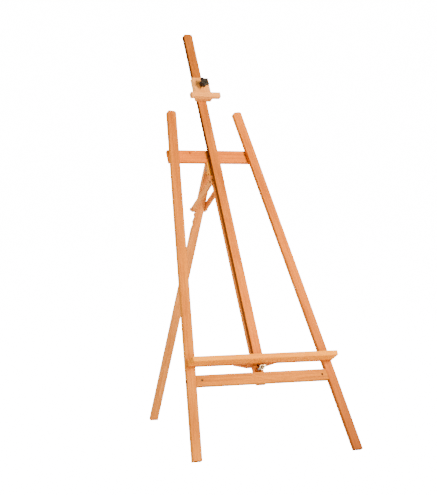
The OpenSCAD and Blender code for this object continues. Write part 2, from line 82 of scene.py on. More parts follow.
def remap(tree, value, low, high, to_low=0.0, to_high=1.0):
    inputs = {"Value": value, "From Min": low, "From Max": high, "To Min": to_low, "To Max": to_high}
    return add(tree, "ShaderNodeMapRange", inputs, interpolation_type="SMOOTHSTEP").outputs["Result"]


def blend(tree, factor, a, b, mode="MIX"):
    node = add(tree, "ShaderNodeMix", data_type="RGBA", blend_type=mode)
    for socket, value in ((node.inputs[0], factor), (node.inputs[6], a), (node.inputs[7], b)):
        if isinstance(value, bpy.types.NodeSocket):
            tree.links.new(value, socket)
        else:
            socket.default_value = value
    return node.outputs[2]


def tinted(tree, colour, tint):
    return blend(tree, 1.0, colour, tint, "MULTIPLY")


def swing(tree, value, amount):
    """A noise of mean one half as a change of mean zero."""
    return calc(tree, "MULTIPLY", calc(tree, "SUBTRACT", value, 0.5), amount)


def noise(tree, x, y, z, scale, detail=3.0, rough=0.55):
    """Noise stretched by three factors, so that it can run along the grain."""
    vector = add(tree, "ShaderNodeCombineXYZ", {0: x, 1: y, 2: z}).outputs[0]
    stretched = add(tree, "ShaderNodeVectorMath", {0: vector, 1: scale}, operation="MULTIPLY").outputs[0]
    inputs = {"Vector": stretched, "Scale": 1.0, "Detail": detail, "Roughness": rough}
    return add(tree, "ShaderNodeTexNoise", inputs).outputs["Fac"]


def speckle(tree, position, scale, detail, rough=0.5):
    """Noise that is the same in every direction."""
    inputs = {"Vector": position, "Scale": scale, "Detail": detail, "Roughness": rough}
    return add(tree, "ShaderNodeTexNoise", inputs).outputs["Fac"]


def new_group(name, inputs, outputs):
    """A shader node group with named sockets; returns the tree, its input node and its output node."""
    group = bpy.data.node_groups.new(name, "ShaderNodeTree")
    kinds = {"V": "NodeSocketVector", "F": "NodeSocketFloat", "C": "NodeSocketColor"}
    for direction, sockets in (("INPUT", inputs), ("OUTPUT", outputs)):
        for socket, kind in sockets:
            group.interface.new_socket(socket, in_out=direction, socket_type=kinds[kind])
    return group, group.nodes.new("NodeGroupInput"), group.nodes.new("NodeGroupOutput")


# ---------------------------------------------------------------- node groups


def make_beech_group():
    """Beech: growth rings, fibres, the short dark flecks of its rays, slow changes of tone, and end grain."""
    group, given, out = new_group(
        "Beech",
        [("Position", "V"), ("Normal", "V"), ("Across", "V"), ("Through", "V"), ("Along", "V"), ("Seed", "F"),
         ("Light", "C"), ("Dark", "C"), ("Fleck", "F")],
        [("Color", "C"), ("Roughness", "F"), ("Height", "F")],
    )
    g = given.outputs
    shift = calc(group, "MULTIPLY", g["Seed"], 0.731)
    x = calc(group, "ADD", dot(group, g["Position"], g["Across"]), shift)
    y = calc(group, "ADD", dot(group, g["Position"], g["Through"]), calc(group, "MULTIPLY", shift, 1.37))
    z = calc(group, "ADD", dot(group, g["Position"], g["Along"]), calc(group, "MULTIPLY", shift, 2.11))

    # Rings round a heart that wanders off beside the board, so that its faces show long arches.
    heart_depth = 0.35
    rings_per_metre = 420.0
    wander = calc(group, "SUBTRACT", noise(group, x, y, z, (5, 5, 1.6), 2.0), 0.5)
    drift = calc(group, "SUBTRACT", noise(group, z, x, y, (2.1, 1, 1), 1.0), 0.5)
    rx = calc(group, "ADD", dot(group, g["Position"], g["Across"]), calc(group, "MULTIPLY", drift, 0.16))
    ry = calc(group, "ADD", dot(group, g["Position"], g["Through"]), calc(group, "MULTIPLY", wander, 0.05))
    ry = calc(group, "ADD", ry, heart_depth)
    squares = calc(group, "ADD", calc(group, "POWER", rx, 2.0), calc(group, "POWER", ry, 2.0))
    rings_along = calc(group, "MULTIPLY", calc(group, "SQRT", squares), rings_per_metre)
    inputs = {"W": rings_along, "Scale": 1.0, "Detail": 2.5, "Roughness": 0.6}
    ringed = add(group, "ShaderNodeTexNoise", inputs, noise_dimensions="1D")
    rings = remap(group, ringed.outputs["Fac"], 0.3, 0.72)

    fibre = noise(group, x, y, z, (900, 900, 14), 4.0, 0.65)
    streak = noise(group, x, y, z, (150, 150, 2.4), 3.0)
    tone = noise(group, x, y, z, (9, 9, 2.3), 2.0)
    figure = noise(group, x, y, z, (55, 55, 9), 2.0)
    fleck_noise = noise(group, x, y, z, (1500, 1500, 230), 1.5)
    fleck_tint = (0.62, 0.5, 0.44, 1)
    fleck = calc(group, "MULTIPLY", remap(group, fleck_noise, 0.6, 0.68), g["Fleck"])

    darkness = calc(group, "MULTIPLY", rings, 0.34)
    darkness = calc(group, "ADD", darkness, calc(group, "MULTIPLY", remap(group, streak, 0.38, 0.66), 0.42))
    darkness = calc(group, "ADD", darkness, calc(group, "MULTIPLY", remap(group, tone, 0.32, 0.7), 0.30))
    darkness = calc(group, "ADD", darkness, swing(group, figure, 0.9))
    darkness = calc(group, "ADD", darkness, swing(group, fibre, 0.45), clamp=True)
    colour = blend(group, darkness, g["Light"], g["Dark"])
    colour = blend(group, fleck, colour, tinted(group, colour, fleck_tint))

    facing = calc(group, "ABSOLUTE", dot(group, g["Normal"], g["Along"]))
    end = remap(group, facing, 0.75, 0.95)
    pores = noise(group, x, y, z, (1400, 1400, 40), 2.0)
    pore_tint = (0.66, 0.58, 0.52, 1)
    end_tint = (0.86, 0.8, 0.75, 1)
    end_colour = blend(group, remap(group, pores, 0.4, 0.6), tinted(group, colour, pore_tint),
                       tinted(group, colour, end_tint))
    colour = blend(group, end, colour, end_colour)

    oiled_roughness = 0.56
    rough = calc(group, "ADD", oiled_roughness, swing(group, fibre, 0.3))
    rough = calc(group, "ADD", rough, calc(group, "MULTIPLY", end, 0.18), clamp=True)
    height = calc(group, "SUBTRACT", calc(group, "ADD", fibre, calc(group, "MULTIPLY", rings, 0.25)),
                  calc(group, "MULTIPLY", fleck, 0.5))
    group.links.new(colour, out.inputs["Color"])
    group.links.new(rough, out.inputs["Roughness"])
    group.links.new(height, out.inputs["Height"])
    return group


def make_drift_group():
    """A board's slow change of tone from its low end to its high end."""
    group, given, out = new_group(
        "Drift along the board",
        [("Position", "V"), ("Along", "V"), ("From", "F"), ("To", "F"), ("Low tint", "C"), ("High tint", "C"),
         ("Color", "C")],
        [("Color", "C")],
    )
    g = given.outputs
    place = dot(group, g["Position"], g["Along"])
    travelled = calc(group, "SUBTRACT", place, g["From"])
    share = calc(group, "DIVIDE", travelled, calc(group, "SUBTRACT", g["To"], g["From"]))
    bend = speckle(group, g["Position"], 6.0, 2.0)
    share = calc(group, "ADD", share, swing(group, bend, 0.35), clamp=True)
    tint = blend(group, share, g["Low tint"], g["High tint"])
    group.links.new(tinted(group, g["Color"], tint), out.inputs["Color"])
    return group


def make_edge_group():
    """How far a surface's rounded normal has turned from its flat one: 1 along an edge, 0 away from it."""
    group, given, out = new_group(
        "Edge",
        [("Rounded", "V"), ("Flat", "V"), ("Position", "V")],
        [("Edge", "F")],
    )
    g = given.outputs
    turned = calc(group, "SUBTRACT", 1.0, dot(group, g["Rounded"], g["Flat"]))
    patchy = speckle(group, g["Position"], 45.0, 4.0)
    rubbed = remap(group, patchy, 0.35, 0.65, 0.25, 1.0)
    edge = calc(group, "MULTIPLY", remap(group, turned, 0.005, 0.2), rubbed)
    group.links.new(edge, out.inputs["Edge"])
    return group


def make_knot_group():
    """A small dark pin knot at a point, with a soft ring round it."""
    group, given, out = new_group(
        "Pin knot",
        [("Position", "V"), ("Centre", "V"), ("Radius", "F"), ("Color", "C")],
        [("Color", "C")],
    )
    g = given.outputs
    places = {0: g["Position"], 1: g["Centre"]}
    away = add(group, "ShaderNodeVectorMath", places, operation="DISTANCE").outputs["Value"]
    wobble = speckle(group, g["Position"], 260.0, 3.0)
    relative = calc(group, "DIVIDE", away, g["Radius"])
    relative = calc(group, "ADD", relative, swing(group, wobble, 0.9))
    core = remap(group, relative, 1.15, 0.7)
    halo = remap(group, relative, 2.9, 1.0, 0.0, 0.55)
    halo_tint = (0.72, 0.55, 0.42, 1)
    core_colour = (0.035, 0.016, 0.01, 1)
    colour = blend(group, halo, g["Color"], tinted(group, g["Color"], halo_tint))
    colour = blend(group, core, colour, core_colour)
    group.links.new(colour, out.inputs["Color"])
    return group


def make_metal_group():
    """Plated or bare metal: fine rubbing marks, dull patches and a little grime."""
    group, given, out = new_group(
        "Worn metal",
        [("Position", "V"), ("Base", "C"), ("Tarnish", "C"), ("Roughness", "F")],
        [("Color", "C"), ("Roughness", "F"), ("Height", "F")],
    )
    g = given.outputs
    patch = speckle(group, g["Position"], 160.0, 5.0, 0.65)
    fine = speckle(group, g["Position"], 1900.0, 2.0)
    dull = remap(group, patch, 0.42, 0.66)
    colour = blend(group, dull, g["Base"], g["Tarnish"])
    rough = calc(group, "ADD", g["Roughness"], calc(group, "MULTIPLY", dull, 0.16))
    rough = calc(group, "ADD", rough, swing(group, fine, 0.12), clamp=True)
    group.links.new(colour, out.inputs["Color"])
    group.links.new(rough, out.inputs["Roughness"])
    group.links.new(calc(group, "ADD", fine, calc(group, "MULTIPLY", patch, 0.6)), out.inputs["Height"])
    return group


def make_thread_group():
    """The ridges of a screw thread along an axis, as a height."""
    group, given, out = new_group(
        "Thread",
        [("Position", "V"), ("Axis", "V"), ("Side", "V"), ("Other", "V"), ("Centre", "V"), ("Pitch", "F")],
        [("Height", "F")],
    )
    g = given.outputs
    places = {0: g["Position"], 1: g["Centre"]}
    local = add(group, "ShaderNodeVectorMath", places, operation="SUBTRACT").outputs[0]
    turn = calc(group, "ARCTAN2", dot(group, local, g["Side"]), dot(group, local, g["Other"]))
    climb = calc(group, "DIVIDE", dot(group, local, g["Axis"]), g["Pitch"])
    phase = calc(group, "ADD", climb, calc(group, "DIVIDE", turn, math.tau))
    ridge = calc(group, "PINGPONG", phase, 0.5)
    group.links.new(calc(group, "MULTIPLY", ridge, 2.0), out.inputs["Height"])
    return group


def make_plastic_group():
    """Moulded plastic with a fine spark-eroded grain, slight colour drift and rubbed, shinier patches."""
    group, given, out = new_group("Moulded plastic", [("Position", "V"), ("Base", "C"), ("Roughness", "F")],
                                  [("Color", "C"), ("Roughness", "F"), ("Height", "F")])
    g = given.outputs
    grain = speckle(group, g["Position"], 2600.0, 2.0)
    drift = speckle(group, g["Position"], 70.0, 4.0)
    rubbed_tint = (1.9, 1.75, 1.7, 1)
    colour = blend(group, remap(group, drift, 0.35, 0.7), g["Base"], tinted(group, g["Base"], rubbed_tint))
    rough = calc(group, "ADD", g["Roughness"], swing(group, drift, -0.35))
    rough = calc(group, "ADD", rough, swing(group, grain, 0.15), clamp=True)
    group.links.new(colour, out.inputs["Color"])
    group.links.new(rough, out.inputs["Roughness"])
    group.links.new(grain, out.inputs["Height"])
    return group


BEECH = make_beech_group()
DRIFT = make_drift_group()
EDGE = make_edge_group()
KNOT = make_knot_group()
METAL = make_metal_group()
THREAD = make_thread_group()
PLASTIC = make_plastic_group()


# ---------------------------------------------------------------- materials


def use(tree, group, inputs):
    """A group placed in a material with its own values; returns its outputs."""
    return add(tree, "ShaderNodeGroup", inputs, node_tree=group).outputs


def start_material(name, edge_width):
    """A new material, its tree, shader and coordinates, the edge-rounded normal and the edge mask."""
    material = bpy.data.materials.new(name)
    material.use_nodes = True
    tree = material.node_tree
    shader = tree.nodes["Principled BSDF"]
    coords = add(tree, "ShaderNodeTexCoord").outputs
    rounded = add(tree, "ShaderNodeBevel", {"Radius": edge_width}, samples=4).outputs["Normal"]
    flat = add(tree, "ShaderNodeNewGeometry").outputs["Normal"]
    edge = use(tree, EDGE, {"Rounded": rounded, "Flat": flat, "Position": coords["Object"]})["Edge"]
    return material, tree, shader, coords, rounded, edge


def finish_material(tree, shader, colour, rough, height, normal, strength, distance):
    inputs = {"Height": height, "Normal": normal, "Strength": strength, "Distance": distance}
    bump = add(tree, "ShaderNodeBump", inputs)
    tree.links.new(colour, shader.inputs["Base Color"])
    tree.links.new(rough, shader.inputs["Roughness"])
    tree.links.new(bump.outputs["Normal"], shader.inputs["Normal"])


KNOT_RADIUS = 0.0032


def wood(name, along, through, seed, light, dark, fleck=0.8, knot=None, drift=None, sides=None):
    """Oiled beech with its grain along one direction; through is the way its thickness runs.

    A board may be given another tint on its faces that point across, on either side.
    """
    material, tree, shader, coords, rounded, edge = start_material(name, 0.0012)
    along, through = Vector(along).normalized(), Vector(through).normalized()
    across = along.cross(through)
    grain = use(tree, BEECH, {
        "Position": coords["Object"], "Normal": coords["Normal"], "Across": across, "Through": through,
        "Along": along, "Seed": seed, "Light": (*light, 1), "Dark": (*dark, 1), "Fleck": fleck,
    })
    colour = grain["Color"]
    if drift:
        low_place, high_place, low_tint, high_tint = drift
        colour = use(tree, DRIFT, {
            "Position": coords["Object"], "Along": along, "From": low_place, "To": high_place,
            "Low tint": (*low_tint, 1), "High tint": (*high_tint, 1), "Color": colour,
        })["Color"]
    if knot:
        colour = use(tree, KNOT, {
            "Position": coords["Object"], "Centre": knot, "Radius": KNOT_RADIUS, "Color": colour,
        })["Color"]
    if sides:
        # The faces that point across, on both sides, are darkened by this tint.
        facing = remap(tree, calc(tree, "ABSOLUTE", dot(tree, coords["Normal"], across)), 0.55, 0.9)
        colour = blend(tree, facing, colour, tinted(tree, colour, (*sides, 1)))
    worn_tint = (1.12, 1.08, 1.02, 1)
    colour = blend(tree, calc(tree, "MULTIPLY", edge, 0.5), colour, tinted(tree, colour, worn_tint))
    rough = calc(tree, "SUBTRACT", grain["Roughness"], calc(tree, "MULTIPLY", edge, 0.1))
    finish_material(tree, shader, colour, rough, grain["Height"], rounded, 0.35, 0.00025)
    shader.inputs["Specular IOR Level"].default_value = 0.1
    return material


def metal(name, base, tarnish, roughness, edge_gain=1.3, thread=None):
    """Metal with rubbed edges, and a thread where one is cut."""
    material, tree, shader, coords, rounded, edge = start_material(name, 0.0004)
    worn = use(tree, METAL, {
        "Position": coords["Object"], "Base": (*base, 1), "Tarnish": (*tarnish, 1), "Roughness": roughness,
    })
    bright = tinted(tree, worn["Color"], (edge_gain, edge_gain, edge_gain, 1))
    colour = blend(tree, calc(tree, "MULTIPLY", edge, 0.7), worn["Color"], bright)
    height = worn["Height"]
    strength = 0.15
    distance = 0.0001
    if thread:
        axis, centre, pitch = thread
        axis = Vector(axis).normalized()
        side = axis.orthogonal().normalized()
        ridges = use(tree, THREAD, {
            "Position": coords["Object"], "Axis": axis, "Side": side, "Other": axis.cross(side),
            "Centre": centre, "Pitch": pitch,
        })["Height"]
        height = calc(tree, "ADD", calc(tree, "MULTIPLY", ridges, 4.0), calc(tree, "MULTIPLY", height, 0.2))
        strength = 0.8
        distance = 0.0002
    finish_material(tree, shader, colour, worn["Roughness"], height, rounded, strength, distance)
    shader.inputs["Metallic"].default_value = 1.0
    return material


def plastic(name, base, roughness):
    material, tree, shader, coords, rounded, edge = start_material(name, 0.0006)
    moulded = use(tree, PLASTIC, {"Position": coords["Object"], "Base": (*base, 1), "Roughness": roughness})
    rough = calc(tree, "SUBTRACT", moulded["Roughness"], calc(tree, "MULTIPLY", edge, 0.12))
    rubbed_edge = (0.045, 0.038, 0.035, 1)
    colour = blend(tree, calc(tree, "MULTIPLY", edge, 0.5), moulded["Color"], rubbed_edge)
    finish_material(tree, shader, colour, rough, moulded["Height"], rounded, 0.12, 0.0001)
    shader.inputs["Specular IOR Level"].default_value = 0.3
    return material


def coat(name, material):
    """Gives a CAD node its material."""
    slots = nodes[name].data.materials
    slots.clear()
    slots.append(material)


# Tones of the boards, light and dark ends of each. The front frame's are pinker, the rear leg's yellower.
LEG = ((0.74, 0.226, 0.012), (0.44, 0.108, 0.004))
BAR = ((0.90, 0.235, 0.004), (0.52, 0.116, 0.002))
LOW_BAR = ((0.69, 0.236, 0.009), (0.37, 0.108, 0.004))
MAST = ((0.94, 0.265, 0.004), (0.55, 0.130, 0.002))
SPINE = ((0.80, 0.250, 0.030), (0.50, 0.130, 0.012))
REAR = ((0.88, 0.330, 0.070), (0.58, 0.190, 0.030))
TRAY = ((0.98, 0.390, 0.006), (0.80, 0.245, 0.003))
HOLDER = ((0.95, 0.420, 0.100), (0.82, 0.320, 0.066))
DARK_SIDES = (0.28, 0.23, 0.22)

SPLAY = math.radians(7.555)
REAR_LEAN = math.radians(26.95)
BRACE_FALL = math.radians(33.3)
left_way = UP * math.cos(SPLAY) + ACROSS * math.sin(SPLAY)
right_way = UP * math.cos(SPLAY) - ACROSS * math.sin(SPLAY)
rear_way = Vector((0, math.sin(REAR_LEAN), -math.cos(REAR_LEAN)))
rear_through = Vector((0, math.cos(REAR_LEAN), math.sin(REAR_LEAN)))
brace_way = Vector((0, math.cos(BRACE_FALL), -math.sin(BRACE_FALL)))

# The pin knot is in the upper crossbar's front face, 100 mm left of its middle.
bar_lo, bar_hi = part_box("upper_crossbar")
bar_mid = (Vector(bar_lo) + Vector(bar_hi)) / 2
knot_at = bar_mid - ACROSS * 0.1 + UP * 0.014 + FORWARD * 0.0102

boards = {
    "left_leg": (left_way, BACK, LEG, 1.0),
    "right_leg": (right_way, BACK, LEG, 2.0),
    "upper_crossbar": (ACROSS, BACK, BAR, 3.0),
    "lower_crossbar": (ACROSS, BACK, LOW_BAR, 4.0),
    "spine": (UP, BACK, SPINE, 5.0),
    "left_corner_block": (UP, ACROSS, TRAY, 6.0),
    "right_corner_block": (UP, ACROSS, TRAY, 7.0),
    "mast": (UP, BACK, MAST, 8.0),
    "tray_back_board": (ACROSS, BACK, LEG, 9.0),
    "tray_ledge": (ACROSS, UP, TRAY, 10.0),
    "left_spacer": (UP, ACROSS, SPINE, 11.0),
    "right_spacer": (UP, ACROSS, SPINE, 12.0),
    "spine_batten": (ACROSS, BACK, SPINE, 13.0),
    "holder_block": (UP, BACK, HOLDER, 14.0),
    "holder_lip": (ACROSS, UP, HOLDER, 15.0),
    "rear_leg": (rear_way, rear_through, REAR, 16.0),
    "left_brace_arm": (brace_way, ACROSS, REAR, 17.0),
    "right_brace_arm": (brace_way, ACROSS, REAR, 18.0),
    "brace_rod": (ACROSS, UP, HOLDER, 19.0),
    "spine_dowels": (UP, BACK, HOLDER, 20.0),
}
# How some boards change upwards: the share of the length taken, the tint at its start and at its end.
drifts = {
    "left_leg": (1.0, (1.06, 1.25, 1.3), (0.93, 0.93, 1.1)),
    "right_leg": (0.45, (0.46, 0.40, 0.6), (1.10, 1.06, 1.0)),
    "mast": (1.0, (1.0, 1.02, 0.9), (0.52, 0.56, 2.4)),
    "rear_leg": (1.0, (1.0, 1.0, 1.0), (0.86, 0.9, 0.9)),
}
for name, (along, through, tones, seed) in boards.items():
    drift = None
    if name in drifts:
        share, *tints = drifts[name]
        places = [v.co.dot(along.normalized()) for v in nodes[name].data.vertices]
        start = min(places)
        drift = (start, start + share * (max(places) - start), *tints)
    knot = knot_at if name == "upper_crossbar" else None
    sides = DARK_SIDES if name == "mast" else None
    coat(name, wood(name + "_beech", along, through, seed, *tones, knot=knot, drift=drift, sides=sides))

steel = metal("Zinc plated steel", (0.62, 0.60, 0.55), (0.40, 0.37, 0.32), 0.3)
dark_steel = metal("Dark screws", (0.10, 0.08, 0.065), (0.045, 0.035, 0.03), 0.45, 2.0)
# This near-black steel is also painted shade on the barrel nuts, standing for the shade inside the holes they sit
# in.
blackened_steel_and_hole_shade = metal("Blackened steel and painted hole shade", (0.045, 0.034, 0.028), (0.02, 0.015, 0.012), 0.5, 1.5)
nut_steel = metal("Dulled zinc", (0.34, 0.31, 0.22), (0.05, 0.042, 0.03), 0.3, 1.8)
brass = metal("Brass", (0.72, 0.50, 0.22), (0.42, 0.27, 0.11), 0.3)
black = plastic("Black knob plastic", (0.007, 0.0055, 0.005), 0.5)
M8_PITCH = 0.00125
clamp_thread = metal("Threaded clamp bolt", (0.60, 0.56, 0.48), (0.36, 0.31, 0.25), 0.32,
                     thread=(FORWARD, joints["wing_nut_turn"]["pos_m"], M8_PITCH))
stud_thread = metal("Threaded stud", (0.60, 0.58, 0.54), (0.40, 0.37, 0.33), 0.3,
                    thread=(FORWARD, joints["holder_knob_turn"]["pos_m"], M8_PITCH))
finishes = {"plated_steel": steel, "dark_screws": dark_steel, "brass_insert": brass, "black_plastic": black}
for part in frame["record"]["subparts"]:
    if part["material_slot"] in finishes:
        coat(part["node"], finishes[part["material_slot"]])
coat("clamp_bolt", clamp_thread)
coat("knob_stud", stud_thread)
coat("brace_pivot", blackened_steel_and_hole_shade)


# ---------------------------------------------------------------- pieces made here


def new_piece(name, mesh, material, body, slot_name, *stands_for, smooth_angle=40):
    """A finished bmesh as a piece that rides on a body and stands for its CAD nodes."""
    bmesh.ops.remove_doubles(mesh, verts=mesh.verts, dist=1e-6)
    bmesh.ops.recalc_face_normals(mesh, faces=mesh.faces)
    data = bpy.data.meshes.new(name)
    mesh.to_mesh(data)
    mesh.free()
    data.materials.append(material)
    data.shade_smooth()
    data.set_sharp_from_angle(angle=math.radians(smooth_angle))
    piece = bpy.data.objects.new(name, data)
    bpy.context.scene.collection.objects.link(piece)
    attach(piece, body)
    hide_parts(*stands_for)
    return piece


def placed(origin, axis):
    """The matrix that puts a shape drawn up +Z on a point, along an axis, with its +X across if it can be."""
    z = Vector(axis).normalized()
    x = ACROSS - z * ACROSS.dot(z)
    x = x.normalized() if x.length > 0.1 else UP.copy()
    y = z.cross(x)
    turn = Matrix((x, y, z)).transposed().to_4x4()
    return Matrix.Translation(Vector(origin)) @ turn


def settle(mesh, matrix):
    """Moves the points made since the last call from the origin to their place."""
    fresh = [v for v in mesh.verts if not v.tag]
    bmesh.ops.transform(mesh, matrix=matrix, verts=fresh)
    for v in fresh:
        v.tag = True


def turned(mesh, profile, matrix, steps=40):
    """A turned shape: a profile of (radius, height) points spun about +Z."""
    verts = [mesh.verts.new((r, 0, h)) for r, h in profile]
    edges = [mesh.edges.new(pair) for pair in zip(verts, verts[1:])]
    bmesh.ops.spin(mesh, geom=verts + edges, cent=(0, 0, 0), axis=(0, 0, 1), angle=math.tau, steps=steps,
                   use_merge=True)
    bmesh.ops.remove_doubles(mesh, verts=[v for v in mesh.verts if not v.tag], dist=1e-7)
    settle(mesh, matrix)


def recess(mesh, outline, ring_radius, height, depth, matrix, steps=40):
    """A flat round face at a height with a socket of the given outline sunk into it."""
    floor_share = 0.8
    turns = [k * math.tau / steps for k in range(steps)]
    rim = [mesh.verts.new((ring_radius * math.cos(t), ring_radius * math.sin(t), height)) for t in turns]
    mouth = [mesh.verts.new((x, y, height)) for x, y in outline]
    edges = [mesh.edges.new((loop[i - 1], loop[i])) for loop in (rim, mouth) for i in range(len(loop))]
    bmesh.ops.triangle_fill(mesh, use_beauty=True, use_dissolve=False, edges=edges, normal=(0, 0, 1))
    walls = bmesh.ops.extrude_edge_only(mesh, edges=edges[len(rim):])["geom"]
    for v in walls:
        if isinstance(v, bmesh.types.BMVert):
            v.co.z -= depth
            v.co.x *= floor_share
            v.co.y *= floor_share
    floor_edges = [g for g in walls if isinstance(g, bmesh.types.BMEdge)]
    bmesh.ops.triangle_fill(mesh, use_beauty=True, use_dissolve=False, edges=floor_edges, normal=(0, 0, 1))
    settle(mesh, matrix)


def cross(half_width, half_length):
    """The outline of a cross slot."""
    w, h = half_width, half_length
    return [(w, w), (w, h), (-w, h), (-w, w), (-h, w), (-h, -w),
            (-w, -w), (-w, -h), (w, -h), (w, -w), (h, -w), (h, w)]


def hexagon(radius):
    """The outline of a hexagon socket."""
    return [(radius * math.cos(k * math.tau / 6), radius * math.sin(k * math.tau / 6)) for k in range(6)]


def islands(name):
    """The separate solids of a CAD node, each as its list of points."""
    mesh = nodes[name].data
    parent = list(range(len(mesh.vertices)))

    def root(i):
        while parent[i] != i:
            parent[i] = parent[parent[i]]
            i = parent[i]
        return i

    by_place = {}
    for v in mesh.vertices:
        key = tuple(round(c, 6) for c in v.co)
        if key in by_place:
            parent[root(v.index)] = root(by_place[key])
        else:
            by_place[key] = v.index
    for e in mesh.edges:
        parent[root(e.vertices[0])] = root(e.vertices[1])
    found = {}
    for v in mesh.vertices:
        found.setdefault(root(v.index), []).append(v.co.copy())
    return list(found.values())


def ends(points, axis):
    """The middles of a round solid's two ends along an axis: (far end, near end)."""
    axis = Vector(axis).normalized()
    along = [p.dot(axis) for p in points]
    high, low = max(along), min(along)
    middle = sum((p - axis * p.dot(axis) for p in points), Vector()) / len(points)
    return middle + axis * high, middle + axis * low


SCREW_STEPS = 28


def wood_screws(name, body, axis_of):
    """Countersunk screws with cross recesses, each where its CAD solid is."""
    mesh = bmesh.new()
    for points in islands(name):
        axis = axis_of(points)
        head, tip = ends(points, axis)
        length = (head - tip).length
        at = placed(head, axis)
        turned(mesh, [(0.00245, -0.0001), (0.0037, -0.0001), (0.00395, -0.0003), (0.0022, -0.0019),
                      (0.0019, -0.0024), (0.0019, 0.004 - length), (0.0005, 0.0002 - length), (0, -length)],
               at, SCREW_STEPS)
        recess(mesh, cross(0.00052, 0.0021), 0.00245, -0.0001, 0.0014, at, SCREW_STEPS)
    return new_piece(name + "_with_recess", mesh, dark_steel, body, "dark_screws", name)


def from_back(points):
    return BACK


def outwards(points):
    middle = sum(points, Vector()) / len(points)
    return ACROSS if middle.x > 0 else -ACROSS


for name, body, axis_of in (
    ("upper_crossbar_screws", "frame", from_back),
    ("spine_screws", "frame", from_back),
    ("corner_block_screws", "frame", outwards),
    ("fixed_leaf_screws", "frame", from_back),
    ("batten_screws", "mast_carriage", from_back),
    ("strap_screws", "canvas_holder", from_back),
    ("lip_screws", "canvas_holder", from_back),
    ("moving_leaf_screws", "rear_leg_body", lambda points: -rear_through),
):
    wood_screws(name, body, axis_of)

# The lower crossbar's joint bolts: low domed heads with hexagon sockets.
mesh = bmesh.new()
for points in islands("crossbar_bolts"):
    axis = outwards(points)
    head, tip = ends(points, axis)
    length = (head - tip).length
    at = placed(head, axis)
    turned(mesh, [(0.0036, 0), (0.0046, -0.0002), (0.0056, -0.0009), (0.0063, -0.002), (0.0065, -0.003),
                  (0.0064, -0.0035), (0.003, -0.0035), (0.003, 0.0006 - length), (0.0024, -length),
                  (0, -length)], at)
    recess(mesh, hexagon(0.0023), 0.0036, 0, 0.002, at)
new_piece("joint_bolts", mesh, dark_steel, "frame", "dark_screws", "crossbar_bolts")

# The barrel nuts: a screwdriver slot across each one's face.
mesh = bmesh.new()
for points in islands("barrel_nuts"):
    front, rear = ends(points, FORWARD)
    length = (front - rear).length
    at = placed(front, FORWARD)
    turned(mesh, [(0.0044, 0), (0.005, -0.0006), (0.005, 0.0006 - length),
                  (0.0044, -length), (0, -length)], at)
    slot = [(0.0042, 0.0006), (-0.0042, 0.0006), (-0.0042, -0.0006), (0.0042, -0.0006)]
    recess(mesh, slot, 0.0044, 0, 0.0012, at)
# The barrel nuts get the near-black steel as painted shade for the recessed holes they sit in.
new_piece("cross_dowels", mesh, blackened_steel_and_hole_shade, "frame", "plated_steel", "barrel_nuts")


def knob_at(joint):
    return placed(joints[joint]["pos_m"], FORWARD)


def reach(name, axis, from_point):
    """How far a CAD node reaches along an axis, measured from a point: (least, most)."""
    along = [(v.co - Vector(from_point)).dot(axis) for v in nodes[name].data.vertices]
    return min(along), max(along)


def furthest(name, joint):
    """How far a CAD node reaches from a joint's axis."""
    pivot, axis = Vector(joints[joint]["pos_m"]), Vector(joints[joint]["axis"])
    return max((v.co - pivot).cross(axis).length for v in nodes[name].data.vertices)


# The star knob: five soft lobes that swell from a round hub, and a shallow dish in its face.
low, high = reach("star_knob", FORWARD, joints["holder_knob_turn"]["pos_m"])
outer = furthest("star_knob", "holder_knob_turn")
deep = high - low
hub = 0.0095
lobed = outer * 0.985
LOBES = 5
LOBE_TURN = math.radians(45)
foot_bevel = 0.0006
# Each section: its height as a share of the depth, its mean radius, and how far its lobes swell.
sections = [
    (0.0, hub - foot_bevel, 0.0), (foot_bevel / deep, hub, 0.0), (0.38, hub * 0.97, 0.0),
    (0.46, hub * 1.02, 0.02), (0.50, hub * 1.22, 0.09), (0.54, lobed * 0.78, 0.17),
    (0.60, lobed * 0.86, 0.19), (0.72, lobed * 0.875, 0.195), (0.84, lobed * 0.865, 0.19),
    (0.92, lobed * 0.82, 0.17),
    (0.97, lobed * 0.73, 0.13), (0.995, lobed * 0.58, 0.06), (1.0, lobed * 0.42, 0.02),
    (0.985, lobed * 0.30, 0.0), (0.97, lobed * 0.16, 0.0),
]
mesh = bmesh.new()
loop = bmesh.ops.create_circle(mesh, segments=110, radius=1.0, cap_ends=True)["verts"]
edges = list(mesh.edges)
for place, mean, lobe in sections:
    if place > 0:
        grown = bmesh.ops.extrude_edge_only(mesh, edges=edges)["geom"]
        loop = [g for g in grown if isinstance(g, bmesh.types.BMVert)]
        ring = set(loop)
        edges = [g for g in grown if isinstance(g, bmesh.types.BMEdge) and ring.issuperset(g.verts)]
    for v in loop:
        turn = math.atan2(v.co.y, v.co.x)
        wave = math.cos(LOBES * (turn - LOBE_TURN))
        size = mean * (1 + lobe * (wave - 0.25 * (1 - wave * wave)))
        v.co = Vector((size * math.cos(turn), size * math.sin(turn), low + deep * place))
bmesh.ops.triangle_fill(mesh, use_beauty=True, use_dissolve=False, edges=edges, normal=(0, 0, 1))
bmesh.ops.transform(mesh, matrix=knob_at("holder_knob_turn"), verts=mesh.verts)
new_piece("lobed_knob", mesh, black, "holder_knob", "black_plastic", "star_knob", smooth_angle=50)

# The wing nut: a tapered hub and two wings that flare forwards.
WING_TURN = math.radians(30)
low, high = reach("wing_nut", FORWARD, joints["wing_nut_turn"]["pos_m"])
deep = high - low
span = furthest("wing_nut", "wing_nut_turn")
hub_deep = deep / 2
bore = 0.00405
wing_thick = 0.0028
mesh = bmesh.new()
turned(mesh, [(bore, low), (0.0073, low), (0.0075, low + 0.0004), (0.0074, low + 0.003),
              (0.0062, low + hub_deep - 0.0004), (0.0058, low + hub_deep), (bore, low + hub_deep),
              (bore, low)], Matrix.Identity(4))
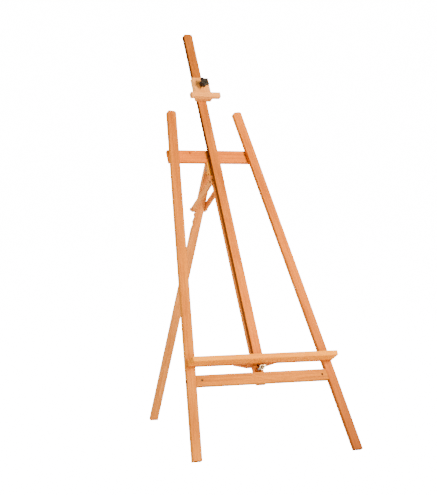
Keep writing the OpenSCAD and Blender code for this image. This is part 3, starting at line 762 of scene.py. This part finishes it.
# A wing's outline: shares of the nut's reach and of its depth.
wing_outline = [(0.30, 0.06), (0.42, 0.05), (0.64, 0.22), (0.90, 0.60), (0.99, 0.78), (0.98, 0.90),
                (0.89, 0.985), (0.76, 1.0), (0.62, 0.95), (0.53, 0.84), (0.47, 0.62), (0.30, 0.45)]
for side in (1, -1):
    verts = [mesh.verts.new((side * x * span, -wing_thick / 2, low + h * deep)) for x, h in wing_outline]
    face = mesh.faces.new(verts)
    grown = bmesh.ops.extrude_face_region(mesh, geom=[face])["geom"]
    moved = [g for g in grown if isinstance(g, bmesh.types.BMVert)]
    bmesh.ops.translate(mesh, verts=moved, vec=(0, wing_thick, 0))
    rim = {e for outline in (set(verts), set(moved)) for v in outline for e in v.link_edges
           if outline.issuperset(e.verts)}
    bmesh.ops.bevel(mesh, geom=list(rim), offset=0.0008, offset_type="OFFSET", segments=3, profile=0.5,
                    affect="EDGES", material=-1)
nut_place = knob_at("wing_nut_turn") @ Matrix.Rotation(WING_TURN, 4, "Z")
bmesh.ops.transform(mesh, matrix=nut_place, verts=mesh.verts)
new_piece("winged_nut", mesh, nut_steel, "wing_nut_body", "plated_steel", "wing_nut")


# ---------------------------------------------------------------- floor, light and camera

# The floor and the background are this bright where the camera sees them, which prints as plain white.
WHITE = 16.0

bpy.ops.mesh.primitive_plane_add(size=60, location=(0, 0, 0))
floor = bpy.context.object
floor.name = "studio_floor"
paper = bpy.data.materials.new("Pale studio floor")
paper.use_nodes = True
tree = paper.node_tree
shader = tree.nodes["Principled BSDF"]
shader.inputs["Base Color"].default_value = (0.8, 0.8, 0.8, 1)
shader.inputs["Roughness"].default_value = 0.9
seen = add(tree, "ShaderNodeLightPath").outputs["Is Camera Ray"]
shader.inputs["Emission Color"].default_value = (1, 1, 1, 1)
tree.links.new(calc(tree, "MULTIPLY", seen, WHITE), shader.inputs["Emission Strength"])
floor.data.materials.append(paper)

world = bpy.data.worlds.new("White studio")
bpy.context.scene.world = world
world.use_nodes = True
tree = world.node_tree
backdrop = tree.nodes["Background"]
seen = add(tree, "ShaderNodeLightPath").outputs["Is Camera Ray"]
backdrop.inputs["Color"].default_value = (1, 1, 1, 1)
around = add(tree, "ShaderNodeBackground", {"Color": (0.80, 0.92, 1.0, 1), "Strength": 0.2})
backdrop.inputs["Strength"].default_value = WHITE
chosen = add(tree, "ShaderNodeMixShader", {0: seen, 1: around.outputs[0], 2: backdrop.outputs[0]})
tree.links.new(chosen.outputs[0], tree.nodes["World Output"].inputs["Surface"])


def softbox(name, place, aim, size, power, tint, glare=True):
    """A rectangular lamp aimed at a point; without glare it lights but isn't reflected."""
    data = bpy.data.lights.new(name, "AREA")
    data.shape = "RECTANGLE"
    data.size, data.size_y = size
    data.energy = power
    data.color = tint
    lamp = bpy.data.objects.new(name, data)
    bpy.context.scene.collection.objects.link(lamp)
    lamp.visible_glossy = glare
    lamp.location = place
    lamp.rotation_euler = (Vector(aim) - Vector(place)).to_track_quat("-Z", "Y").to_euler()


WARM = (1.0, 0.80, 0.50)
NEUTRAL = (1.0, 0.97, 0.92)
softbox("key_softbox", (2.4, -5.2, 3.3), (0, 0, 0.8), (2.2, 2.2), 900, WARM)
softbox("low_fill", (0.6, -4.6, 0.25), (0, 0, 0.7), (2.6, 0.4), 70, (1.0, 0.88, 0.72))
softbox("left_fill", (-4.5, 0.9, 1.5), (0, 0, 0.8), (2.4, 2.4), 250, NEUTRAL, glare=False)
softbox("top_light", (0.8, 1.6, 4.2), (0, 0, 0.6), (2.4, 2.4), 120, WARM)

camera = bpy.data.cameras.new("camera")
camera.sensor_width = 36
camera.lens = 121.64
LOOKS_DOWN = math.radians(1.5725)
LOOKS_RIGHT = math.radians(26.0536)
camera_object = bpy.data.objects.new("camera", camera)
bpy.context.scene.collection.objects.link(camera_object)
camera_object.location = (-3.0556, -6.31565, 0.99044)
camera_object.rotation_euler = (math.radians(90) - LOOKS_DOWN, 0, -LOOKS_RIGHT)
bpy.context.scene.camera = camera_object
